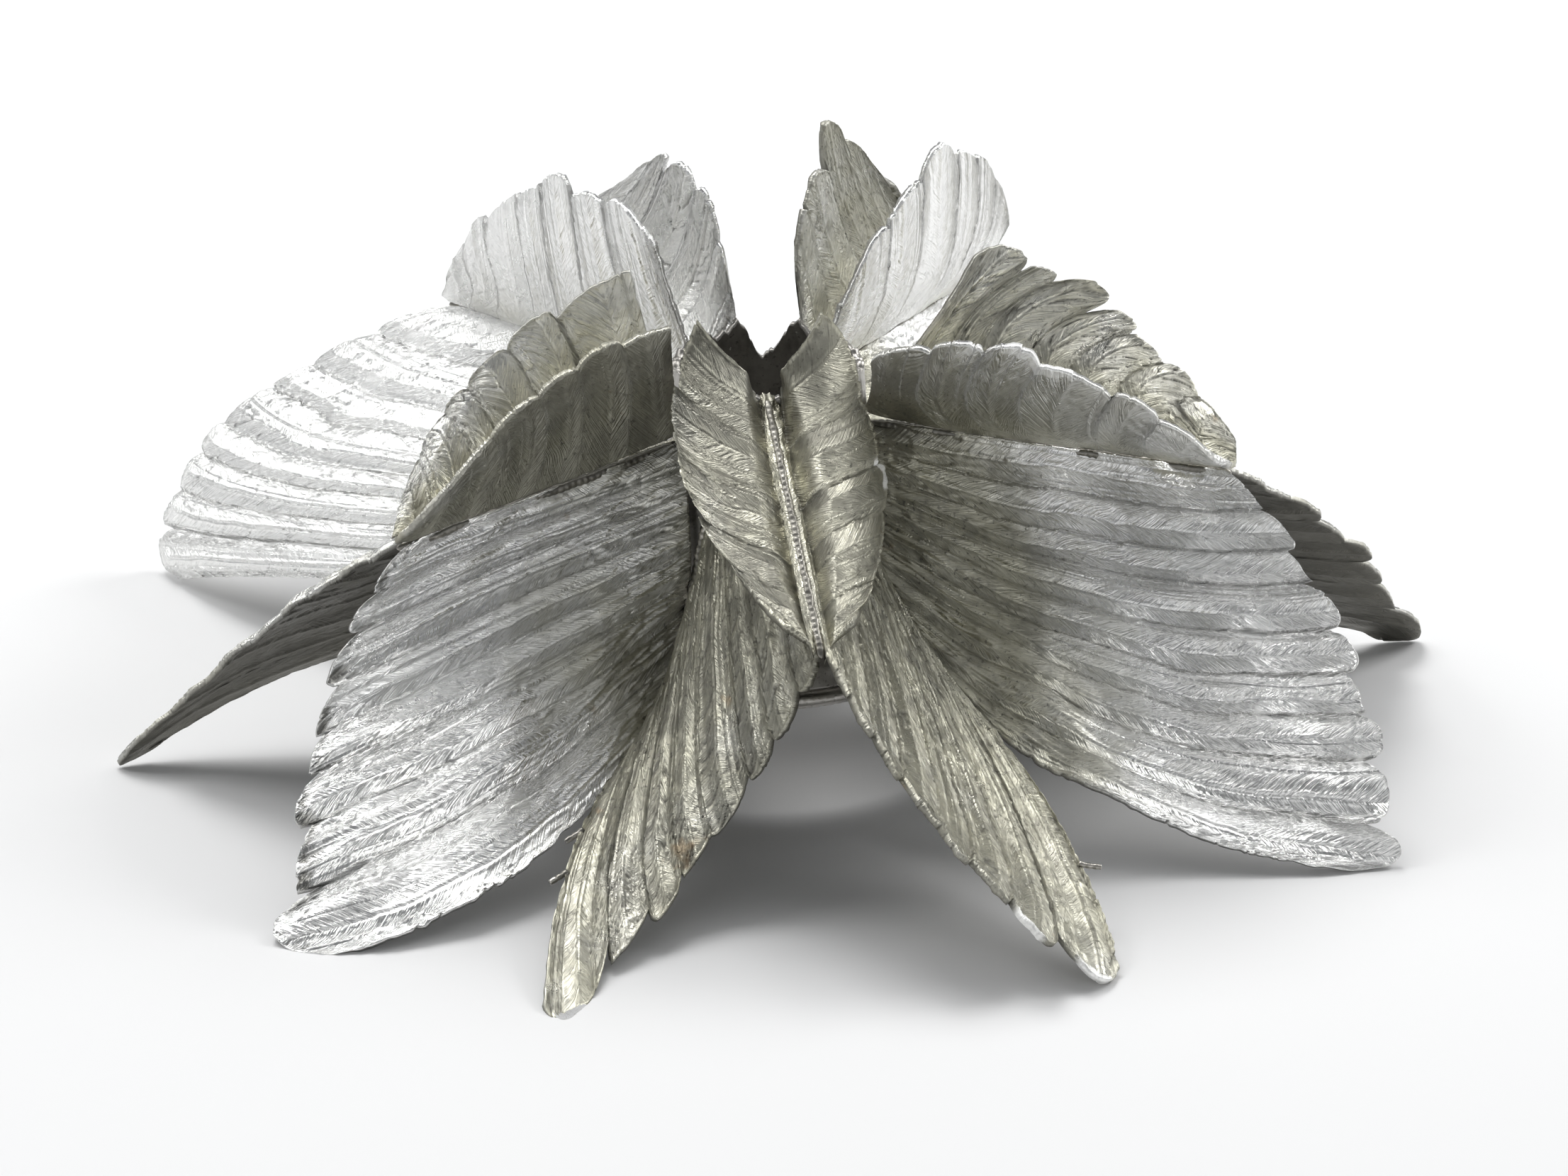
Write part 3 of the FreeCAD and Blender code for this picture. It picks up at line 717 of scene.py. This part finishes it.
# Where a wing's look differs from the other wings of its tier.
SPECIAL = {
    "lower_front_left": LEG,
    "lower_front_right": LEG,
    "lower_left_front": {"patina": 0.0, "root_patina": 0.5, "lumps": 2.2, "tip_shade": 0.45, "face_darkening": -0.08},
    "lower_left_back": {"patina": 0.5, "painted_back_shade": 1.15},
    "lower_backleft_outer": {
        "pitch_along": 1.0, "root_patina": 0.3, "coverts": 0.3, "lumps": 0.7, "notch": 7.0,
    },
    "lower_right_back": {"patina": 0.5, "painted_back_shade": 1.2},
    "lower_right_front": {"patina": 0.0, "root_patina": 0.9, "lumps": 2.6, "face_darkening": -0.1},
    "upper_front_left": LOBE,
    "upper_front_right": LOBE | {"face_darkening": 0.24},
    "upper_left_front": {"patina": 0.65, "relief": 0.6, "keel_shade": 0.8, "painted_back_shade": 0.6},
    "upper_left_back": {"patina": 0.45},
    "upper_backleft_outer": {"patina": 0.0, "root_patina": 0.25, "notch": 4.0, "painted_back_shade": 0.0},
    "upper_backleft_inner": {"patina": 0.0, "root_patina": 0.1, "notch": 6.0, "step": 1.0, "painted_back_shade": 0.0},
    "upper_backright_inner": {"patina": 0.5, "notch": 8.0, "step": 1.8},
    "upper_backright_outer": {"patina": 0.0, "root_patina": 0.3, "notch": 4.0, "painted_back_shade": 0.0},
    "upper_right_front": {"patina": 0.35, "relief": 0.7, "keel_shade": 0.8, "painted_back_shade": 0.2},
    "upper_right_back": {"patina": 0.6, "face_darkening": 0.16},
}
# Bright filed stretches of a wing's feathered edge, as shares across the wing.
FILED_EDGES = {
    "lower_front_right": [(0.02, 0.13), (0.2, 0.3)],
    "upper_right_front": [(0.3, 0.36), (0.4, 0.62)],
    "upper_front_right": [(0.42, 0.55)],
}
LOWER_SEED, UPPER_SEED, SEED_STEP = 100, 700, 40


def add_wing(tier, name, net, feathers, side, seed, look):
    """Build one wing with its own look and stand it in for its CAD node."""
    title = tier + "_" + name
    filed = FILED_EDGES.get(title, [])
    piece = wing(title, net, feathers, side, seed, look | SPECIAL.get(title, {}), filed)
    finish_piece(piece, wing_metal, "wing_metal", tier + "_wing_" + name)


for number, (name, (_, side, _, feathers, *_)) in enumerate(LOWER_WINGS.items()):
    add_wing("lower", name, lower_net(name), feathers, side, LOWER_SEED + SEED_STEP * number, LOWER_LOOK)

for number, (name, (_, side, feathers, *_)) in enumerate(UPPER_WINGS.items()):
    add_wing("upper", name, upper_net(name), feathers, side, UPPER_SEED + SEED_STEP * number, UPPER_LOOK)

finish_piece(throat_collar(), throat_metal, "throat_metal", "throat_collar")
finish_piece(weld_ring(), weld_metal, "weld_metal", "skirt_weld_ring")

KEEL_BEAD_RADIUS, KEEL_BEAD_SEED = 1.7, 40
for number, trough in enumerate(TROUGHS):
    start = place(turn(keel(trough, 0.02), 0, -4.8))
    end = place(turn(keel(trough, 0.99), 0, -2.8))
    piece = bead("keel_bead_" + trough, start, end, KEEL_BEAD_RADIUS, KEEL_BEAD_RADIUS,
                 KEEL_BEAD_SEED + number, groove_shade=0.9)
    finish_piece(piece, weld_metal, "weld_metal", "keel_weld_" + trough)

VALLEY_BEAD_RADII, VALLEY_BEAD_SEED = (2.6, 1.9), 60
for number, (valley, (azimuth, _, _)) in enumerate(VALLEYS.items()):
    start = place((azimuth, SKIRT_RADIUS + 1, SKIRT_HEIGHT + 4))
    end = place((azimuth, WAIST[0] + 2.5, WAIST[1] - 6))
    piece = bead("valley_bead_" + valley, start, end, *VALLEY_BEAD_RADII, VALLEY_BEAD_SEED + number)
    finish_piece(piece, weld_metal, "weld_metal", "valley_weld_" + valley)

STUB_LENGTH, STUB_RADII, STUB_SEED = 6, (1.1, 0.95), 80
for number, (name, (wing_name, share)) in enumerate(SPRUE_STUBS.items()):
    net = lower_net(wing_name)
    foot = net_points(net, np.array(share), np.array(0.0))
    outward = foot - net_points(net, np.array(share), np.array(0.1))
    outward /= np.linalg.norm(outward)
    start, end = foot - outward * MM, foot + outward * STUB_LENGTH * MM
    piece = bead("sprue_" + name, start, end, *STUB_RADII, STUB_SEED + number, turns=12, around=16)
    finish_piece(piece, weld_metal, "weld_metal", "sprue_stub_" + name)

# ---------------------------------------------------------------------------------------------
# Studio
# ---------------------------------------------------------------------------------------------
FLOOR_RADIUS, FLOOR_SIDES = 2.2, 96
floor_mesh = bpy.data.meshes.new("floor")
floor_angles = [2 * math.pi * side / FLOOR_SIDES for side in range(FLOOR_SIDES)]
floor_rim = [(FLOOR_RADIUS * math.cos(angle), FLOOR_RADIUS * math.sin(angle), 0) for angle in floor_angles]
floor_mesh.from_pydata(floor_rim, [], [tuple(range(FLOOR_SIDES))])
floor = bpy.data.objects.new("floor", floor_mesh)
bpy.context.collection.objects.link(floor)
floor_material = bpy.data.materials.new("floor_paper")
floor_material.use_nodes = True
paper = floor_material.node_tree.nodes["Principled BSDF"]
paper.inputs["Base Color"].default_value = (0.84, 0.84, 0.84, 1)
paper.inputs["Roughness"].default_value = 0.6
paper.inputs["Specular IOR Level"].default_value = 0.2
floor_mesh.materials.append(floor_material)


def softbox(name, location, target, width, depth, power):
    """An area light that faces a point."""
    light = bpy.data.lights.new(name, "AREA")
    light.shape = "RECTANGLE"
    light.size, light.size_y = width, depth
    light.energy = power
    lamp = bpy.data.objects.new(name, light)
    bpy.context.collection.objects.link(lamp)
    lamp.location = location
    away = np.array(location, float) - np.array(target, float)
    horizontal = math.hypot(away[0], away[1])
    lamp.rotation_euler = (math.atan2(horizontal, away[2]), 0, math.atan2(away[0], -away[1]))


softbox("key_softbox", (-0.5, 1.45, 2.5), (0, 0, 0.05), 1.2, 1.2, 43)
softbox("top_softbox", (0.0, 0.6, 2.1), (0, 0, 0.05), 4.0, 1.4, 16)
softbox("left_softbox", (-1.9, 0.5, 1.95), (0, 0, 0.08), 1.1, 1.1, 14)
softbox("right_softbox", (1.9, 0.9, 1.65), (0, 0, 0.08), 1.2, 1.1, 27)

world = bpy.data.worlds.new("studio")
bpy.context.scene.world = world
world.use_nodes = True
sky = Nodes(world.node_tree)
background = world.node_tree.nodes["Background"]
direction = sky.add("ShaderNodeSeparateXYZ", {0: sky.add("ShaderNodeTexCoord").outputs["Generated"]})
glow = sky.mix(sky.ramp(direction.outputs[2], 0.05, 0.6), (0.76, 0.77, 0.78, 1), (0.21, 0.215, 0.22, 1))
world.node_tree.links.new(glow, background.inputs["Color"])
world.node_tree.links.new(sky.ramp(direction.outputs[1], -0.7, 0.3, 0.9, 1.0), background.inputs["Strength"])

ELEVATION = math.radians(25)
CAMERA_DISTANCE = 1.5
AIM = AXIS + MM * np.array([5, 0, 47])
camera_data = bpy.data.cameras.new("camera")
camera_data.sensor_width = 36
camera_data.lens = 109.6
camera_data.clip_end = 50
camera = bpy.data.objects.new("camera", camera_data)
bpy.context.collection.objects.link(camera)
camera.location = AIM + CAMERA_DISTANCE * np.array([0, -math.cos(ELEVATION), math.sin(ELEVATION)])
camera.rotation_euler = (math.pi / 2 - ELEVATION, 0, 0)
bpy.context.scene.camera = camera
bpy.context.scene.view_settings.view_transform = "Standard"
